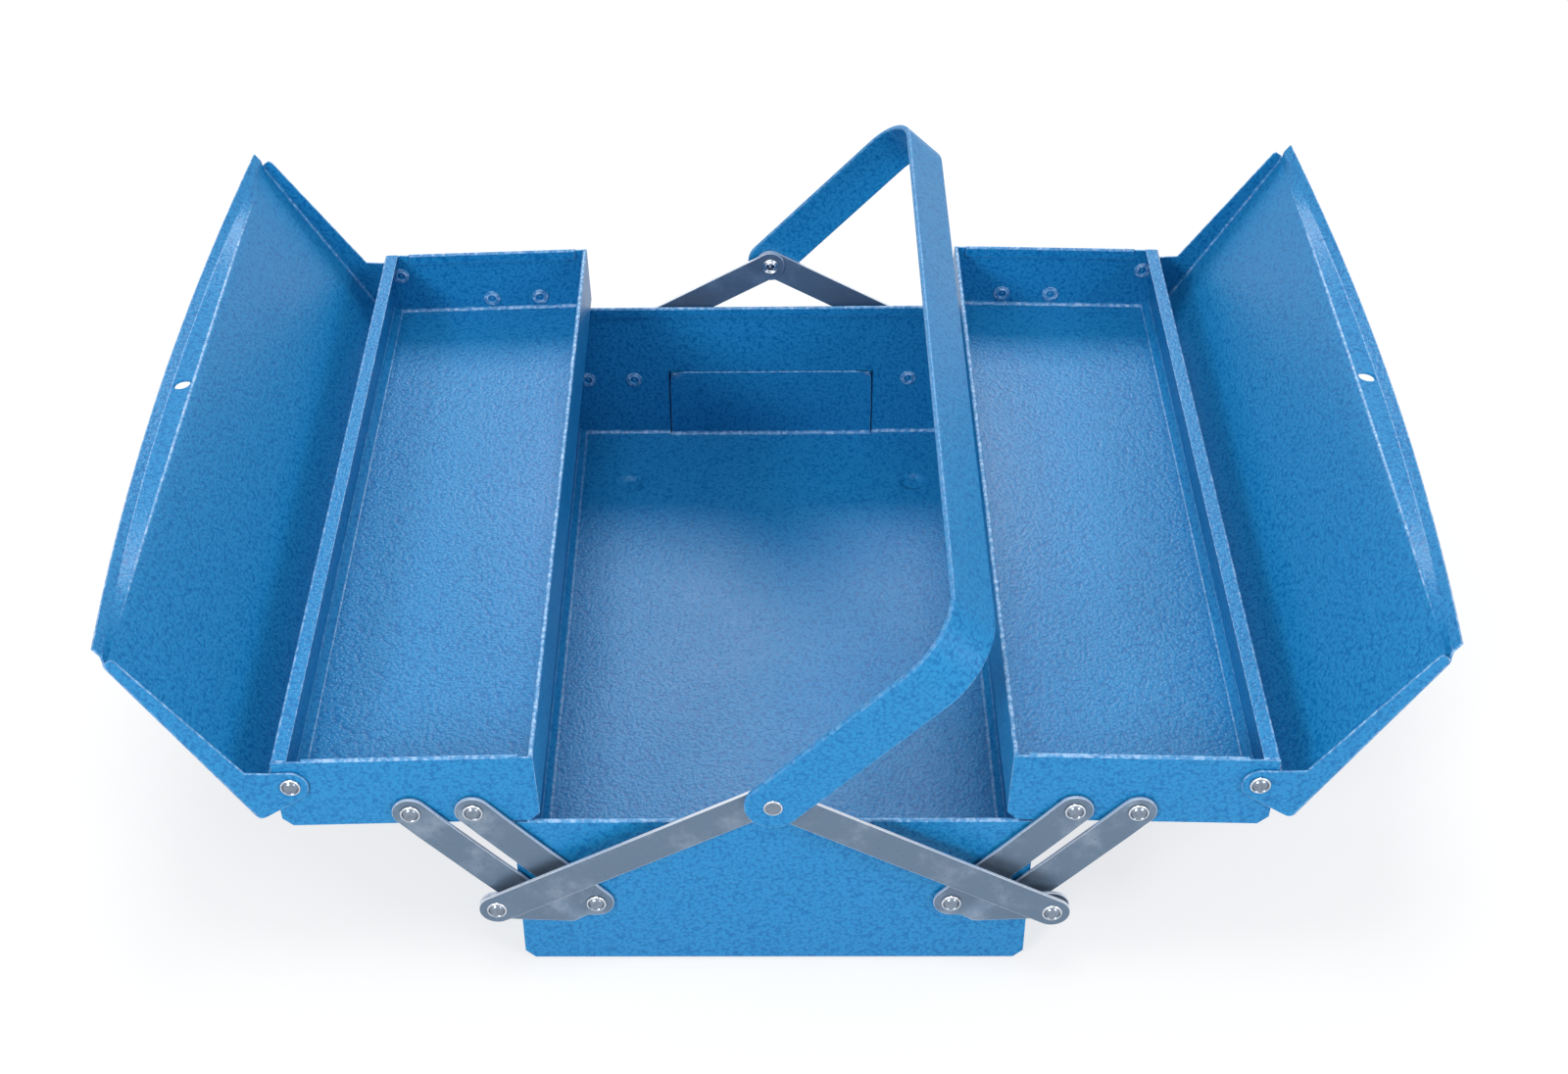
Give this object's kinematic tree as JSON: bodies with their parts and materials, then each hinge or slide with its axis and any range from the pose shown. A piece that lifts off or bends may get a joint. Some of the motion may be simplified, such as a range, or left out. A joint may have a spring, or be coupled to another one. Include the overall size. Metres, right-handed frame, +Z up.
{
  "type": "cantilever tool box",
  "caption": "Folded steel tool box whose lidded trays swing out on end links, over a deep base, worked by struts to a tilting carry handle.",
  "frame": {"origin": "middle of the base, in the plane of its feet", "axes": "+X to the right across the box seen from its front end, +Y along the box to the rear end, +Z up"},
  "size_m": [0.5128, 0.3828, 0.1838],
  "materials": {
    "hammered_paint": "hammered blue enamel, semi-gloss",
    "zinc_plate": "zinc-plated strip steel, satin",
    "bright_rivet": "bright plated rivet"
  },
  "bodies": {
    "base": {"base_shell": "hammered_paint", "base_front_end": "hammered_paint", "base_rear_end": "hammered_paint", "base_pivot_rivets": "bright_rivet", "base_pivot_washers": "zinc_plate"},
    "left_arms": {"left_front_drive_arm": "zinc_plate", "left_rear_drive_arm": "zinc_plate", "left_drive_arm_rivets": "bright_rivet"},
    "left_links": {"left_front_outer_link": "zinc_plate", "left_rear_outer_link": "zinc_plate"},
    "left_tray": {"left_tray_shell": "hammered_paint", "left_tray_front_end": "hammered_paint", "left_tray_rear_end": "hammered_paint", "left_tray_rivets": "bright_rivet", "left_tray_washers": "zinc_plate", "left_lid_rivets": "bright_rivet"},
    "left_lid": {"left_lid": "hammered_paint"},
    "left_struts": {"left_front_strut": "zinc_plate", "left_rear_strut": "zinc_plate", "left_strut_rivets": "bright_rivet"},
    "right_arms": {"right_front_drive_arm": "zinc_plate", "right_rear_drive_arm": "zinc_plate", "right_drive_arm_rivets": "bright_rivet"},
    "right_links": {"right_front_outer_link": "zinc_plate", "right_rear_outer_link": "zinc_plate"},
    "right_tray": {"right_tray_shell": "hammered_paint", "right_tray_front_end": "hammered_paint", "right_tray_rear_end": "hammered_paint", "right_tray_rivets": "bright_rivet", "right_tray_washers": "zinc_plate", "right_lid_rivets": "bright_rivet"},
    "right_lid": {"right_lid": "hammered_paint"},
    "right_struts": {"right_front_strut": "zinc_plate", "right_rear_strut": "zinc_plate", "right_strut_rivets": "bright_rivet", "right_strut_spacers": "zinc_plate"},
    "handle_pivot": {"handle_rivets": "bright_rivet"},
    "handle": {"handle": "hammered_paint"}
  },
  "joints": [
    {"name": "left_arm_swing", "type": "hinge", "parent": "base", "child": "left_arms", "pos_m": [-0.06981, 0, 0.036], "axis": [0, 1, 0], "range_deg": [0, 82.28]},
    {"name": "right_arm_swing", "type": "hinge", "parent": "base", "child": "right_arms", "pos_m": [0.06981, 0, 0.036], "axis": [0, 1, 0], "range_deg": [-82.29, 0.01]},
    {"name": "left_link_swing", "type": "hinge", "parent": "base", "child": "left_links", "pos_m": [-0.09341, 0, 0.036], "axis": [0, 1, 0], "range_deg": [-0.01, 82.67]},
    {"name": "right_link_swing", "type": "hinge", "parent": "base", "child": "right_links", "pos_m": [0.09341, 0, 0.036], "axis": [0, 1, 0], "range_deg": [-82.67, 0.01]},
    {"name": "left_tray_swing", "type": "hinge", "parent": "left_arms", "child": "left_tray", "pos_m": [-0.1145, 0, 0.08673], "axis": [0, 1, 0], "range_deg": [-80.62, 0.01]},
    {"name": "right_tray_swing", "type": "hinge", "parent": "right_arms", "child": "right_tray", "pos_m": [0.1145, 0, 0.08673], "axis": [0, 1, 0], "range_deg": [-0.01, 80.62]},
    {"name": "handle_pivot_lift", "type": "slide", "parent": "base", "child": "handle_pivot", "axis": [0, 0, 1], "range_m": [-0.00001, 0.07631]},
    {"name": "left_strut_swing", "type": "hinge", "parent": "handle_pivot", "child": "left_struts", "pos_m": [0, 0, 0.099], "axis": [0, 1, 0], "range_deg": [-24.6, 0.01]},
    {"name": "right_strut_swing", "type": "hinge", "parent": "handle_pivot", "child": "right_struts", "pos_m": [0, 0, 0.099], "axis": [0, 1, 0], "range_deg": [-0.01, 24.6]},
    {"name": "left_lid_swing", "type": "hinge", "parent": "left_tray", "child": "left_lid", "pos_m": [-0.1828, 0, 0.09944], "axis": [0, 1, 0], "range_deg": [0, 123.06]},
    {"name": "right_lid_swing", "type": "hinge", "parent": "right_tray", "child": "right_lid", "pos_m": [0.1828, 0, 0.09944], "axis": [0, -1, 0], "range_deg": [0, 123.06]},
    {"name": "handle_swing", "type": "hinge", "parent": "handle_pivot", "child": "handle", "pos_m": [0, 0, 0.099], "axis": [0, 1, 0], "range_deg": [-111.5, 24.5]}
  ],
  "couplings": [
    {"joint": "right_arm_swing", "follows": "left_arm_swing", "ratio": -1},
    {"joint": "left_link_swing", "follows": "left_arm_swing", "ratio": 1.0047},
    {"joint": "right_link_swing", "follows": "left_arm_swing", "ratio": -1.0047},
    {"joint": "left_tray_swing", "follows": "left_arm_swing", "ratio": -0.9797},
    {"joint": "right_tray_swing", "follows": "left_arm_swing", "ratio": 0.9797},
    {"joint": "handle_pivot_lift", "follows": "left_arm_swing", "m_per_rad": 0.053133},
    {"joint": "left_strut_swing", "follows": "left_arm_swing", "ratio": -0.29882},
    {"joint": "right_strut_swing", "follows": "left_arm_swing", "ratio": 0.29882}
  ]
}
